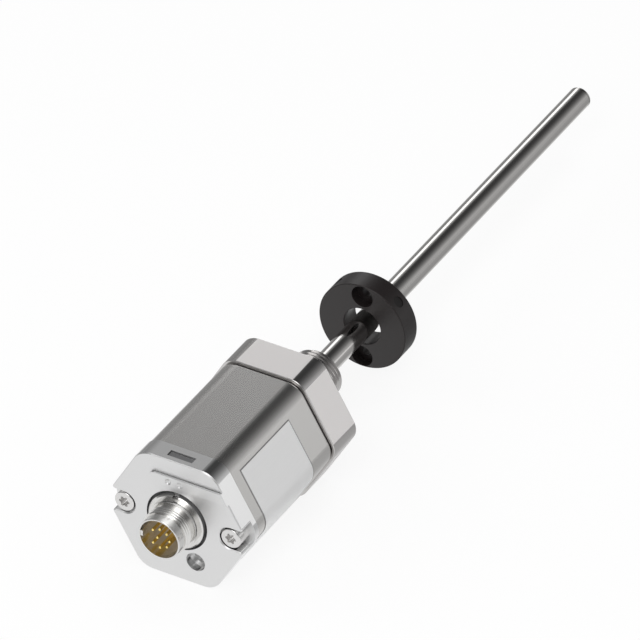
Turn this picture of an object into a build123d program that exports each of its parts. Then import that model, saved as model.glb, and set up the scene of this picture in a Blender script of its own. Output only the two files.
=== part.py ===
from build123d import *
import math
import os

# A rod-style linear position sensor: a hexagonal electronics housing, a threaded process stub,
# a slim sensing rod and the ring magnet that slides along it without touching.
# The origin is the centre of the flange's sealing face. The rod runs along +Y, and the flat that
# carries the status window faces +Z.

# Flange and threaded stub
flange_overhang = 0.65
flange_corner = 6.3
flange_thickness = 13.9
flange_edge = 0.3
stub_radius = 9.0
stub_length = 21.0
stub_chamfer = 1.1
seal_groove_radius = 7.7
seal_groove_width = 2.6
port_seal_section = 1.1

# Housing tube
tube_across_flats = 44.6
tube_corner = 7.0
tube_length = 46.5
tube_wall = 2.6
tube_front_edge = 0.25
tube_rear_round = 1.2
cavity_corner = 1.5

# Gaskets at both ends of the tube
gasket_thickness = 0.2
gasket_inset = 0.6

# End cover
cover_overhang = 0.35
cover_corner = 7.0
cover_depth = 7.5
cover_edge = 0.35
spigot_length = 3.0
spigot_wall = 1.5
spigot_clearance = 0.15

# Cover screws, their washers and the pockets that they sit in
screw_spacing = 38.4
screw_radius = 1.96
screw_head_radius = 3.5
screw_head_height = 4.0
screw_head_edge = 0.35
screw_sink = 0.2
screw_in_flange = 8.6
screw_hole_radius = 2.25
tapped_hole_radius = 2.0
tapped_hole_spare = 1.0
washer_inner_radius = 2.1
washer_outer_radius = 3.45
washer_thickness = 1.2
washer_split = 0.8
right_split_angle = -25
left_split_angle = 200
pocket_radius = 4.0
pocket_mouth_round = 0.8
socket_core_radius = 1.45
socket_lobe_radius = 0.5
socket_lobe_place = 1.43
socket_depth = 2.1

# Earth hole in the cover
earth_x = 6.55
earth_z = -13.85
earth_seat_radius = 3.35
earth_seat_depth = 3.65
earth_thread_radius = 2.5
earth_thread_length = 4.0
earth_boss_radius = 3.4
earth_boss_floor = 1.0

# Raised pad above the connector, with two round dimples
pad_radius = 1.875
pad_end_x = -7.56
pad_centre_z = 14.87
pad_height = 1.0
pad_edge = 0.12
dimple_centre_x = -0.3
dimple_spacing = 4.2
dimple_ball_radius = 1.45
dimple_depth = 0.5

# Status window and the light guide behind it
window_length = 9.0
window_width = 2.75
window_setback = 3.45
window_sink = 0.5
window_clearance = 0.1
guide_height = 2.9
guide_drop = 4.9
guide_clearance = 0.2

# Connector
sleeve_radius = 7.35
sleeve_wall = 0.5
sleeve_length = 3.35
sleeve_edge = 0.2
thread_radius = 8.0
thread_length = 3.4
thread_chamfer = 0.35
neck_radius = 7.5
shoulder_radius = 8.6
shoulder_length = 2.1
connector_reach = 10.95
collar_radius = 9.9
collar_proud = 1.0
collar_edge = 0.4
seat_radius = 10.88
seat_depth = 2.4
key_width = 1.8
key_bottom = 9.35
key_sink = 0.3
key_clearance = 0.2
rear_thread_radius = 7.0
rear_bore_radius = 6.0
rear_clearance = 0.15
nut_across_flats = 17.0
nut_thickness = 2.5
nut_clearance = 0.05
shell_past_nut = 0.4
seal_ring_radius = 8.5
seal_ring_section = 0.55
seal_clearance = 0.05
rib_width = 2.0
rib_height = 0.9
insert_depth = 9.8
insert_shoulder_depth = 16.8
insert_setback = 0.6
insert_clearance = 0.05
pin_radius = 0.5
pin_dome = 0.4
pin_circle_radius = 3.5
pin_centre_x = -0.9
pin_sink = 0.25
pin_clearance = 0.02
pin_solder_length = 0.8

# Rating label, wrapped round the tube's +X corner
label_start = 4.5
label_length = 30.2
label_edge_x = 15.8
label_thickness = 0.12

# Sensing rod
rod_radius = 4.0
rod_wall = 1.0
rod_reach = 199.0
rod_seat_depth = 10.0
rod_fit = 0.02
plug_head = 0.95
plug_spigot = 4.6
plug_edge = 0.5
weld_gap = 0.15

# Waveguide and what lies beside it in the rod
waveguide_radius = 0.25
return_wire_radius = 0.3
return_wire_drop = 0.75
wire_clearance = 0.05
return_bend_radius = 2.0
return_bend_centre = 16.2
sleeve_bore_radius = 1.1
inner_sleeve_clearance = 0.3
inner_sleeve_start = 1.0
damper_length = 15.0
damper_gap = 1.0
crimp_radius = 1.15
crimp_length = 3.5
crimp_setback = 7.8

# Transducer carrier, behind the flange
carrier_clearance = 0.3
carrier_plate = 3.0
carrier_bore_radius = 2.0
cradle_half_width = 7.0
cradle_top = -5.0
cradle_thickness = 2.0
cradle_length = 29.4
rail_width = 3.0
rail_height = 5.6
rail_clearance = 0.5
groove_depth = 1.5
groove_clearance = 0.1
carrier_screw_x = 8.5
carrier_screw_z = 9.0
carrier_screw_radius = 1.46
carrier_screw_length = 6.0
carrier_screw_head_radius = 2.7
carrier_screw_head_height = 2.0
carrier_screw_socket = 1.25
carrier_screw_clearance = 0.1
carrier_hole_radius = 1.5
wire_hole_clearance = 0.1

# Coil, its bobbin, the bias magnet and the waveguide's clamp
bobbin_setback = 8.4
bobbin_length = 11.0
bobbin_flange = 1.2
bobbin_clearance = 0.1
bobbin_hub_radius = 1.4
bobbin_bore_radius = 0.5
coil_radius = 4.0
coil_clearance = 0.05
lead_radius = 0.2
lead_spacing = 5.0
lead_setback = 2.2
lead_gap = 0.1
bias_magnet_thickness = 1.6
bias_magnet_length = 7.0
bias_magnet_height = 5.0
bias_magnet_gap = 0.2
clamp_half_width = 3.5
clamp_length = 5.0
clamp_height = 7.0
clamp_gap = 3.9
wire_tail = 1.5
clamp_screw_x = 2.0
clamp_screw_radius = 0.8
clamp_screw_head_radius = 1.4
clamp_screw_head_height = 1.2
clamp_screw_length = 4.5
clamp_screw_slot = 0.4

# Circuit boards
board_thickness = 1.6
main_board_top = -9.0
main_board_half_width = 13.0
main_board_gap = 0.5
connector_board_gap = 0.6
connector_board_clearance = 0.4
header_length = 20.4
header_size = 2.5
header_pitch = 2.54
header_pin_radius = 0.32
header_pin_tail = 0.8
header_pins_count = 8
# Each chip: x, place along the board as a fraction of its length, width, length
chips = [(-4.5, 0.35, 8.0, 8.0), (5.5, 0.45, 5.0, 6.0), (-6.0, 0.72, 4.0, 5.0)]
chip_height = 1.0
# Each capacitor: x, place along the board as a fraction of its length
capacitor_places = [(5.5, 0.25), (4.5, 0.85), (-1.5, 0.6)]
capacitor_radius = 2.5
capacitor_height = 5.4
led_spacing = 5.0
led_size = 1.6
led_height = 0.8
led_gap = 0.3

# Position magnet, at the place along the rod where the photo shows it
magnet_front = 49.0
magnet_thickness = 7.9
magnet_radius = 15.9
magnet_bore_radius = 6.75
magnet_edge = 0.3
fixing_circle_radius = 11.75
fixing_seat_radius = 3.9
fixing_seat_depth = 3.6
fixing_hole_radius = 2.15
cell_radius = 1.9
cell_depth = 7.2
cell_clearance = 0.05
potting_thickness = 0.6
potting_sink = 0.3

# How far a cut runs past the surface that it opens
cut_spare = 1.0

# Stations along Y, worked out from the sizes above
flange_front = -flange_thickness
tube_rear = flange_front - gasket_thickness
tube_front = tube_rear - tube_length
cover_rear = tube_front - gasket_thickness
cover_front = cover_rear - cover_depth
pad_front = cover_front - pad_height
dimple_ball_y = pad_front + dimple_depth - dimple_ball_radius
connector_rim = cover_front - connector_reach
washer_front = cover_front + screw_sink + screw_head_height
pocket_floor = washer_front + washer_thickness
seat_floor = cover_front + seat_depth
collar_front = cover_front - collar_proud
shoulder_start = collar_front - shoulder_length
thread_start = connector_rim + sleeve_length
thread_end = thread_start + thread_length
insert_front = connector_rim + insert_depth
insert_shoulder = connector_rim + insert_shoulder_depth
nut_rear = cover_rear + nut_thickness
shell_rear = nut_rear + shell_past_nut
connector_board_front = shell_rear + connector_board_gap
connector_board_rear = connector_board_front + board_thickness
window_centre = cover_front + window_setback
carrier_front = flange_front - carrier_plate
bobbin_rear = flange_front - bobbin_setback
bobbin_front = bobbin_rear - bobbin_length
clamp_rear = bobbin_front - clamp_gap
clamp_front = clamp_rear - clamp_length
rod_start = flange_front + rod_seat_depth
plug_head_start = rod_reach - plug_head
rod_tube_end = plug_head_start - weld_gap
crimp_end = rod_reach - crimp_setback
crimp_start = crimp_end - crimp_length

# Widths, radii and heights, worked out the same way
cover_across_flats = tube_across_flats + 2 * cover_overhang
flange_across_flats = tube_across_flats + 2 * flange_overhang
guide_top = tube_across_flats / 2 - guide_drop
rod_inner_radius = rod_radius - rod_wall
sleeve_inner_radius = sleeve_radius - sleeve_wall
main_board_bottom = main_board_top - board_thickness
cradle_bottom = cradle_top - cradle_thickness
guide_bottom = guide_top - guide_height
rail_x = main_board_half_width + rail_width / 2 - groove_depth
cavity_half_width = rail_x + rail_width / 2 + rail_clearance
screw_points = [(-screw_spacing / 2, 0), (screw_spacing / 2, 0)]
carrier_screw_points = [(-carrier_screw_x, carrier_screw_z), (carrier_screw_x, carrier_screw_z)]
lead_y = bobbin_rear - lead_setback
lead_points = [(-lead_spacing / 2, lead_y), (lead_spacing / 2, lead_y)]


def station(y):
    """Plane across the rod at y, with +X to its right and +Z up; extrusions run towards the connector."""
    return Plane.XZ.offset(-y)


def hexagon(across_flats, corner):
    """Hexagon with rounded corners, two of them on the X axis."""
    RegularPolygon(across_flats / 2, 6, major_radius=False)
    fillet(vertices(), corner)


def cavity(clearance=0.0):
    """Inner outline of the tube: a hexagon cut off at both sides to leave room for the long screws."""
    RegularPolygon(tube_across_flats / 2 - tube_wall - clearance, 6, major_radius=False)
    Rectangle(2 * (cavity_half_width - clearance), tube_across_flats, mode=Mode.INTERSECT)
    fillet(vertices(), cavity_corner)


def pin_places():
    """Seven contacts on a circle, with the place on the -X side left free, and one near the middle."""
    angles = [45 * step for step in range(-3, 4)]
    ring = [(pin_circle_radius * math.cos(math.radians(a)), pin_circle_radius * math.sin(math.radians(a)))
            for a in angles]
    return ring + [(pin_centre_x, 0)]


def ring_profile(inner, outer, start, end):
    """Rectangle in radius and Y, ready to be revolved about the rod's axis."""
    with Locations(((inner + outer) / 2, (start + end) / 2)):
        Rectangle(outer - inner, end - start)


def finish(body, name):
    """Label a finished piece and write it."""
    body.part.label = name
    export_step(body.part, f"parts/{name}.step")


os.makedirs("parts", exist_ok=True)

# End cover: the front layer has the open screw pockets, the rear layer is their floor.
with BuildPart() as end_cover:
    with BuildSketch(station(pocket_floor)) as cover_outline:
        hexagon(cover_across_flats, cover_corner)
        with Locations(*screw_points):
            Circle(pocket_radius, mode=Mode.SUBTRACT)
        with Locations((screw_spacing / 2 + cover_across_flats / 2, 0)):
            Rectangle(cover_across_flats, 2 * pocket_radius, mode=Mode.SUBTRACT)
        with Locations((-screw_spacing / 2 - cover_across_flats / 2, 0)):
            Rectangle(cover_across_flats, 2 * pocket_radius, mode=Mode.SUBTRACT)
        mouth = [corner for corner in cover_outline.vertices()
                 if abs(corner.X) > (screw_spacing + pocket_radius) / 2
                 and abs(corner.Y) < pocket_radius + pocket_mouth_round / 2]
        fillet(mouth, pocket_mouth_round)
    extrude(amount=pocket_floor - cover_front)
    with BuildSketch(station(cover_rear)):
        hexagon(cover_across_flats, cover_corner)
    extrude(amount=cover_rear - pocket_floor)
    chamfer(faces().sort_by(Axis.Y)[0].outer_wire().edges(), cover_edge)

    with BuildSketch(station(cover_front + cover_edge)):
        hexagon(cover_across_flats, cover_corner)
        with BuildSketch(mode=Mode.INTERSECT):
            with Locations((pad_end_x, pad_centre_z)):
                Circle(pad_radius)
                Rectangle(cover_across_flats, 2 * pad_radius, align=(Align.MIN, Align.CENTER))
    extrude(amount=cover_edge + pad_height)
    fillet(faces().sort_by(Axis.Y)[0].outer_wire().edges(), pad_edge)
    with Locations((dimple_centre_x - dimple_spacing / 2, dimple_ball_y, pad_centre_z),
                   (dimple_centre_x + dimple_spacing / 2, dimple_ball_y, pad_centre_z)):
        Sphere(dimple_ball_radius, mode=Mode.SUBTRACT)

    with BuildSketch(station(cover_rear + spigot_length)):
        cavity(spigot_clearance)
    extrude(amount=spigot_length)
    with BuildSketch(station(cover_rear + spigot_length)):
        cavity(spigot_clearance + spigot_wall)
    extrude(amount=spigot_length, mode=Mode.SUBTRACT)

    earth_seat_floor = cover_front + earth_seat_depth
    earth_boss_rear = earth_seat_floor + earth_thread_length + earth_boss_floor
    with BuildSketch(station(earth_boss_rear)):
        with Locations((earth_x, earth_z)):
            Circle(earth_boss_radius)
    extrude(amount=earth_boss_rear - cover_rear)
    with BuildSketch(station(earth_seat_floor)):
        with Locations((earth_x, earth_z)):
            Circle(earth_seat_radius)
    extrude(amount=earth_seat_depth, mode=Mode.SUBTRACT)
    with BuildSketch(station(earth_seat_floor + earth_thread_length)):
        with Locations((earth_x, earth_z)):
            Circle(earth_thread_radius)
    extrude(amount=earth_thread_length, mode=Mode.SUBTRACT)

    with BuildSketch(station(cover_rear)):
        with Locations(*screw_points):
            Circle(screw_hole_radius)
        Circle(rear_thread_radius + rear_clearance)
    extrude(amount=cover_depth, mode=Mode.SUBTRACT)

    with BuildSketch(station(seat_floor)):
        Circle(seat_radius)
    extrude(amount=seat_depth, mode=Mode.SUBTRACT)
    with BuildSketch(station(seat_floor)):
        with Locations((0, key_bottom)):
            Rectangle(key_width, seat_radius - key_bottom + key_clearance, align=(Align.CENTER, Align.MIN))
    extrude(amount=seat_depth - key_sink)
    seal_groove_depth = 2 * seal_ring_section + seal_clearance
    with BuildSketch(station(seat_floor + seal_groove_depth)):
        Circle(seal_ring_radius + seal_ring_section + seal_clearance)
        Circle(seal_ring_radius - seal_ring_section - seal_clearance, mode=Mode.SUBTRACT)
    extrude(amount=seal_groove_depth, mode=Mode.SUBTRACT)

    guide_front = window_centre - window_width / 2
    with BuildSketch(station(cover_rear)):
        with Locations((0, (guide_top + guide_bottom) / 2)):
            Rectangle(window_length + 2 * guide_clearance, guide_height + 2 * guide_clearance)
    extrude(amount=cover_rear - guide_front, mode=Mode.SUBTRACT)
    with BuildSketch(Plane.XY.offset(cover_across_flats / 2)):
        with Locations((0, window_centre)):
            Rectangle(window_length, window_width)
    extrude(amount=guide_top - cover_across_flats / 2, mode=Mode.SUBTRACT)
finish(end_cover, "end_cover")

# Light guide: its neck is the dark window in the top flat, and its foot runs back to the diodes.
with BuildPart() as led_window:
    with BuildSketch(Plane.XY.offset(guide_bottom)):
        with Locations((0, window_centre)):
            Rectangle(window_length - 2 * window_clearance, window_width - 2 * window_clearance)
    extrude(amount=cover_across_flats / 2 - window_sink - guide_bottom)
    guide_foot_front = guide_front + window_clearance
    guide_foot_rear = connector_board_front - led_height - led_gap
    with BuildSketch(station(guide_foot_rear)):
        with Locations((0, (guide_top + guide_bottom) / 2)):
            Rectangle(window_length - 2 * window_clearance, guide_height)
    extrude(amount=guide_foot_rear - guide_foot_front)
finish(led_window, "led_window")

# Long cover screws: they hold cover and tube to the flange.
with BuildPart() as cover_screws:
    with BuildSketch(station(washer_front)):
        with Locations(*screw_points):
            Circle(screw_head_radius)
    extrude(amount=screw_head_height)
    head_rims = edges().filter_by(GeomType.CIRCLE).group_by(Axis.Y)[0]
    fillet(head_rims, screw_head_edge)
    with BuildSketch(station(flange_front + screw_in_flange)):
        with Locations(*screw_points):
            Circle(screw_radius)
    extrude(amount=flange_front + screw_in_flange - washer_front)
    socket_floor = cover_front + screw_sink + socket_depth
    with BuildSketch(station(socket_floor)):
        with Locations(*screw_points):
            Circle(socket_core_radius)
            with PolarLocations(socket_lobe_place, 6):
                Circle(socket_lobe_radius)
    extrude(amount=socket_depth, mode=Mode.SUBTRACT)
finish(cover_screws, "cover_screws")

# Split lock washers, with the split turned outwards and a little down.
with BuildPart() as lock_washers:
    with BuildSketch(station(pocket_floor)):
        with Locations(*screw_points):
            Circle(washer_outer_radius)
            Circle(washer_inner_radius, mode=Mode.SUBTRACT)
        with Locations(Location((screw_spacing / 2, 0, 0), (0, 0, right_split_angle))):
            Rectangle(2 * washer_outer_radius, washer_split, align=(Align.MIN, Align.CENTER),
                      mode=Mode.SUBTRACT)
        with Locations(Location((-screw_spacing / 2, 0, 0), (0, 0, left_split_angle))):
            Rectangle(2 * washer_outer_radius, washer_split, align=(Align.MIN, Align.CENTER),
                      mode=Mode.SUBTRACT)
    extrude(amount=washer_thickness)
finish(lock_washers, "lock_washers")

# Connector shell: a turned part with a smooth mating sleeve, the coupling thread, a collar that
# sits in the cover and a rear thread that takes the nut. A slot in the collar takes the cover's key.
with BuildPart() as connector_shell:
    with BuildSketch(Plane.XY):
        ring_profile(sleeve_inner_radius, sleeve_radius, connector_rim, thread_start)
        ring_profile(sleeve_inner_radius, thread_radius, thread_start, thread_end)
        ring_profile(sleeve_inner_radius, neck_radius, thread_end, shoulder_start)
        ring_profile(sleeve_inner_radius, shoulder_radius, shoulder_start, collar_front)
        ring_profile(sleeve_inner_radius, collar_radius, collar_front, seat_floor)
        ring_profile(rear_bore_radius, rear_thread_radius, insert_shoulder, shell_rear)
        ring_profile(sleeve_inner_radius, rear_thread_radius, seat_floor, insert_shoulder)
    revolve(axis=Axis.Y)
    circles = edges().filter_by(GeomType.CIRCLE)
    chamfer(circles.filter_by(lambda rim: abs(rim.radius - thread_radius) < 0.01), thread_chamfer)
    front_rim = circles.filter_by(lambda rim: abs(rim.radius - sleeve_radius) < 0.01).sort_by(Axis.Y)[0]
    fillet(front_rim, sleeve_edge)
    collar_rim = circles.filter_by(lambda rim: abs(rim.radius - collar_radius) < 0.01).sort_by(Axis.Y)[0]
    chamfer(collar_rim, collar_edge)
    with BuildSketch(station(insert_front)):
        with Locations((-sleeve_inner_radius - sleeve_wall / 2, 0)):
            Rectangle(rib_height + sleeve_wall / 2, rib_width, align=(Align.MIN, Align.CENTER))
    extrude(amount=insert_front - connector_rim - sleeve_edge)
    with BuildSketch(station(seat_floor)):
        with Locations((0, key_bottom - key_clearance)):
            Rectangle(key_width + 2 * key_clearance, seat_radius - key_bottom + key_clearance,
                      align=(Align.CENTER, Align.MIN))
    extrude(amount=seat_floor - collar_front, mode=Mode.SUBTRACT)
finish(connector_shell, "connector_shell")

with BuildPart() as connector_insert:
    with BuildSketch(Plane.XY):
        ring_profile(0, sleeve_inner_radius - insert_clearance, insert_front, insert_shoulder)
        ring_profile(0, rear_bore_radius - insert_clearance, insert_shoulder, shell_rear - insert_setback)
    revolve(axis=Axis.Y)
    with BuildSketch(station(shell_rear)):
        with Locations(*pin_places()):
            Circle(pin_radius + pin_clearance)
    extrude(amount=shell_rear - insert_front, mode=Mode.SUBTRACT)
finish(connector_insert, "connector_insert")

with BuildPart() as contact_pins:
    pin_rear = connector_board_rear + pin_solder_length
    with BuildSketch(station(pin_rear)):
        with Locations(*pin_places()):
            Circle(pin_radius)
    extrude(amount=pin_rear - connector_rim - pin_sink)
    pin_tips = edges().filter_by(GeomType.CIRCLE).group_by(Axis.Y)[0]
    fillet(pin_tips, pin_dome)
finish(contact_pins, "contact_pins")

with BuildPart() as connector_seal_ring:
    with BuildSketch(Plane.XY):
        with Locations((seal_ring_radius, seat_floor + seal_ring_section)):
            Circle(seal_ring_section)
    revolve(axis=Axis.Y)
finish(connector_seal_ring, "connector_seal_ring")

with BuildPart() as connector_nut:
    with BuildSketch(station(nut_rear)):
        RegularPolygon(nut_across_flats / 2, 6, major_radius=False)
        Circle(rear_thread_radius + nut_clearance, mode=Mode.SUBTRACT)
    extrude(amount=nut_thickness)
finish(connector_nut, "connector_nut")

# Housing tube: an extrusion with a screw channel in each side corner.
with BuildPart() as housing_tube:
    with BuildSketch(station(tube_rear)):
        hexagon(tube_across_flats, tube_corner)
    extrude(amount=tube_length)
    fillet(faces().sort_by(Axis.Y)[0].edges(), tube_front_edge)
    fillet(faces().sort_by(Axis.Y)[-1].edges(), tube_rear_round)
    with BuildSketch(station(tube_rear)):
        cavity()
    extrude(amount=tube_length, mode=Mode.SUBTRACT)
    with BuildSketch(station(tube_rear)):
        with Locations(*screw_points):
            Circle(screw_hole_radius)
    extrude(amount=tube_length, mode=Mode.SUBTRACT)
finish(housing_tube, "housing_tube")


def end_gasket(front):
    """Flat gasket with its front face at the station given."""
    with BuildPart() as gasket:
        with BuildSketch(station(front + gasket_thickness)):
            hexagon(tube_across_flats - 2 * gasket_inset, tube_corner)
        extrude(amount=gasket_thickness)
        with BuildSketch(station(front + gasket_thickness)):
            cavity()
        extrude(amount=gasket_thickness, mode=Mode.SUBTRACT)
        with BuildSketch(station(front + gasket_thickness)):
            with Locations(*screw_points):
                Circle(screw_hole_radius)
        extrude(amount=gasket_thickness, mode=Mode.SUBTRACT)
    return gasket


cover_gasket = end_gasket(cover_rear)
finish(cover_gasket, "cover_gasket")
flange_gasket = end_gasket(tube_rear)
finish(flange_gasket, "flange_gasket")

# Rating label: a thin foil that follows the tube's outline round one corner.
with BuildPart() as rating_label:
    label_rear = tube_front + label_start + label_length
    with BuildSketch(station(label_rear)):
        hexagon(tube_across_flats + 2 * label_thickness, tube_corner + label_thickness)
        with Locations((label_edge_x, 0)):
            Rectangle(tube_across_flats, tube_across_flats, align=(Align.MIN, Align.CENTER),
                      mode=Mode.INTERSECT)
    extrude(amount=label_length)
    with BuildSketch(station(label_rear)):
        hexagon(tube_across_flats, tube_corner)
    extrude(amount=label_length, mode=Mode.SUBTRACT)
finish(rating_label, "rating_label")

# Flange: hexagon and threaded stub are one turned piece. The thread's outer surface is left smooth.
with BuildPart() as flange:
    with BuildSketch(station(0)):
        hexagon(flange_across_flats, flange_corner)
    extrude(amount=flange_thickness)
    fillet(faces().sort_by(Axis.Y)[0].edges(), flange_edge)
    fillet(faces().sort_by(Axis.Y)[-1].edges(), flange_edge)
    with BuildSketch(station(stub_length)):
        Circle(stub_radius)
    extrude(amount=stub_length)
    chamfer(faces().sort_by(Axis.Y)[-1].edges(), stub_chamfer)
    with BuildSketch(station(seal_groove_width)):
        Circle(stub_radius + cut_spare)
        Circle(seal_groove_radius, mode=Mode.SUBTRACT)
    extrude(amount=seal_groove_width, mode=Mode.SUBTRACT)
    with BuildSketch(station(stub_length)):
        Circle(rod_radius + rod_fit)
    extrude(amount=stub_length - rod_start, mode=Mode.SUBTRACT)
    with BuildSketch(station(rod_start)):
        Circle(rod_inner_radius)
    extrude(amount=rod_seat_depth, mode=Mode.SUBTRACT)
    with BuildSketch(station(flange_front + screw_in_flange + tapped_hole_spare)):
        with Locations(*screw_points):
            Circle(tapped_hole_radius)
    extrude(amount=screw_in_flange + tapped_hole_spare, mode=Mode.SUBTRACT)
    with BuildSketch(station(flange_front + carrier_screw_length + tapped_hole_spare)):
        with Locations(*carrier_screw_points):
            Circle(carrier_hole_radius)
    extrude(amount=carrier_screw_length + tapped_hole_spare, mode=Mode.SUBTRACT)
finish(flange, "flange")

with BuildPart() as port_seal_ring:
    with BuildSketch(Plane.XY):
        with Locations((seal_groove_radius + port_seal_section, port_seal_section)):
            Circle(port_seal_section)
    revolve(axis=Axis.Y)
finish(port_seal_ring, "port_seal_ring")

# Rod: a thin stainless tube, closed by a welded plug.
with BuildPart() as rod_tube:
    with BuildSketch(Plane.XY):
        ring_profile(rod_inner_radius, rod_radius, rod_start, rod_tube_end)
    revolve(axis=Axis.Y)
finish(rod_tube, "rod_tube")

with BuildPart() as rod_end_plug:
    with BuildSketch(Plane.XY):
        ring_profile(0, rod_radius, plug_head_start, rod_reach)
        ring_profile(0, rod_inner_radius - rod_fit, plug_head_start - plug_spigot, plug_head_start)
    revolve(axis=Axis.Y)
    fillet(faces().sort_by(Axis.Y)[-1].edges(), plug_edge)
finish(rod_end_plug, "rod_end_plug")

# Waveguide, on the rod's axis from the clamp to the crimp near the tip.
with BuildPart() as waveguide_wire:
    with BuildSketch(station(crimp_start)):
        Circle(waveguide_radius)
    extrude(amount=crimp_start - clamp_front + wire_tail)
finish(waveguide_wire, "waveguide_wire")

# Return wire: back along the rod, then down to the board.
with BuildPart() as return_wire:
    bend_end = -return_bend_centre - return_bend_radius
    bend_low = -return_wire_drop - return_bend_radius
    with BuildLine(Plane.YZ) as return_path:
        run = Line((crimp_start, -return_wire_drop), (-return_bend_centre, -return_wire_drop))
        bend = RadiusArc(run @ 1, (bend_end, bend_low), -return_bend_radius)
        Line(bend @ 1, (bend_end, main_board_bottom))
    with BuildSketch(station(crimp_start)):
        with Locations((0, -return_wire_drop)):
            Circle(return_wire_radius)
    sweep(path=return_path.line)
finish(return_wire, "return_wire")

# Soft sleeve that keeps the wires in the middle of the rod, up to the damper near the tip.
damper_end = crimp_start - damper_gap
damper_start = damper_end - damper_length
with BuildPart() as waveguide_sleeve:
    with BuildSketch(Plane.XY):
        ring_profile(sleeve_bore_radius, rod_inner_radius - inner_sleeve_clearance,
                     rod_start + inner_sleeve_start, damper_start - damper_gap)
    revolve(axis=Axis.Y)
finish(waveguide_sleeve, "waveguide_sleeve")

with BuildPart() as damping_sleeve:
    with BuildSketch(station(damper_end)):
        Circle(rod_inner_radius - inner_sleeve_clearance)
        Circle(waveguide_radius + wire_clearance, mode=Mode.SUBTRACT)
        with Locations((0, -return_wire_drop)):
            Circle(return_wire_radius + wire_clearance, mode=Mode.SUBTRACT)
    extrude(amount=damper_length)
finish(damping_sleeve, "damping_sleeve")

with BuildPart() as tip_crimp:
    with BuildSketch(station(crimp_end)):
        Circle(crimp_radius)
    extrude(amount=crimp_length)
finish(tip_crimp, "tip_crimp")

# Transducer carrier: a moulded frame screwed to the flange. A cradle holds coil and clamp, and two
# grooved rails hold the main board.
rail_middle = (main_board_top + main_board_bottom) / 2
with BuildPart() as transducer_carrier:
    with BuildSketch(station(flange_front)):
        cavity(carrier_clearance)
    extrude(amount=carrier_plate)
    with BuildSketch(station(flange_front)):
        Circle(carrier_bore_radius)
        with Locations(*carrier_screw_points):
            Circle(carrier_screw_radius + carrier_screw_clearance)
    extrude(amount=carrier_plate, mode=Mode.SUBTRACT)
    with BuildSketch(station(carrier_front)):
        with Locations((0, (cradle_top + cradle_bottom) / 2)):
            Rectangle(2 * cradle_half_width, cradle_thickness)
        with Locations((-rail_x, rail_middle), (rail_x, rail_middle)):
            Rectangle(rail_width, rail_height)
        with Locations((0, rail_middle)):
            Rectangle(2 * (main_board_half_width + groove_clearance), board_thickness + 2 * groove_clearance,
                      mode=Mode.SUBTRACT)
    extrude(amount=cradle_length)
    with BuildSketch(Plane.XY.offset(cradle_top)):
        with Locations((0, bend_end)):
            Circle(return_wire_radius + wire_hole_clearance)
        with Locations(*lead_points):
            Circle(lead_radius + wire_hole_clearance)
    extrude(amount=-cradle_thickness, mode=Mode.SUBTRACT)
finish(transducer_carrier, "transducer_carrier")

with BuildPart() as carrier_screws:
    with BuildSketch(station(flange_front + carrier_screw_length)):
        with Locations(*carrier_screw_points):
            Circle(carrier_screw_radius)
    extrude(amount=carrier_screw_length + carrier_plate)
    with BuildSketch(station(carrier_front)):
        with Locations(*carrier_screw_points):
            Circle(carrier_screw_head_radius)
    extrude(amount=carrier_screw_head_height)
    with BuildSketch(station(carrier_front - carrier_screw_head_height / 2)):
        with Locations(*carrier_screw_points):
            RegularPolygon(carrier_screw_socket, 6, major_radius=False)
    extrude(amount=carrier_screw_head_height / 2, mode=Mode.SUBTRACT)
finish(carrier_screws, "carrier_screws")

bobbin_radius = -cradle_top - bobbin_clearance
with BuildPart() as pickup_bobbin:
    with BuildSketch(Plane.XY):
        ring_profile(bobbin_bore_radius, bobbin_hub_radius, bobbin_front, bobbin_rear)
        ring_profile(bobbin_bore_radius, bobbin_radius, bobbin_front, bobbin_front + bobbin_flange)
        ring_profile(bobbin_bore_radius, bobbin_radius, bobbin_rear - bobbin_flange, bobbin_rear)
    revolve(axis=Axis.Y)
finish(pickup_bobbin, "pickup_bobbin")

with BuildPart() as pickup_coil:
    with BuildSketch(Plane.XY):
        ring_profile(bobbin_hub_radius + coil_clearance, coil_radius,
                     bobbin_front + bobbin_flange + coil_clearance,
                     bobbin_rear - bobbin_flange - coil_clearance)
    revolve(axis=Axis.Y)
finish(pickup_coil, "pickup_coil")

with BuildPart() as coil_leads:
    lead_top = -math.sqrt(coil_radius ** 2 - (lead_spacing / 2 - lead_radius) ** 2) - lead_gap
    with BuildSketch(Plane.XY.offset(main_board_bottom)):
        with Locations(*lead_points):
            Circle(lead_radius)
    extrude(amount=lead_top - main_board_bottom)
finish(coil_leads, "coil_leads")

with BuildPart() as bias_magnet:
    bias_x = bobbin_radius + bias_magnet_gap + bias_magnet_thickness / 2
    with BuildSketch(Plane.XY.offset(cradle_top)):
        with Locations((bias_x, (bobbin_front + bobbin_rear) / 2)):
            Rectangle(bias_magnet_thickness, bias_magnet_length)
    extrude(amount=bias_magnet_height)
finish(bias_magnet, "bias_magnet")

clamp_top = cradle_top + clamp_height
clamp_middle = (clamp_front + clamp_rear) / 2
with BuildPart() as waveguide_clamp:
    with BuildSketch(Plane.XY.offset(cradle_top)):
        with Locations((0, clamp_middle)):
            Rectangle(2 * clamp_half_width, clamp_length)
    extrude(amount=clamp_height)
    with BuildSketch(station(clamp_rear)):
        Circle(waveguide_radius + wire_clearance)
    extrude(amount=clamp_length, mode=Mode.SUBTRACT)
    with BuildSketch(Plane.XY.offset(clamp_top - clamp_screw_length)):
        with Locations((clamp_screw_x, clamp_middle)):
            Circle(clamp_screw_radius + wire_clearance)
    extrude(amount=clamp_screw_length, mode=Mode.SUBTRACT)
finish(waveguide_clamp, "waveguide_clamp")

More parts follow.
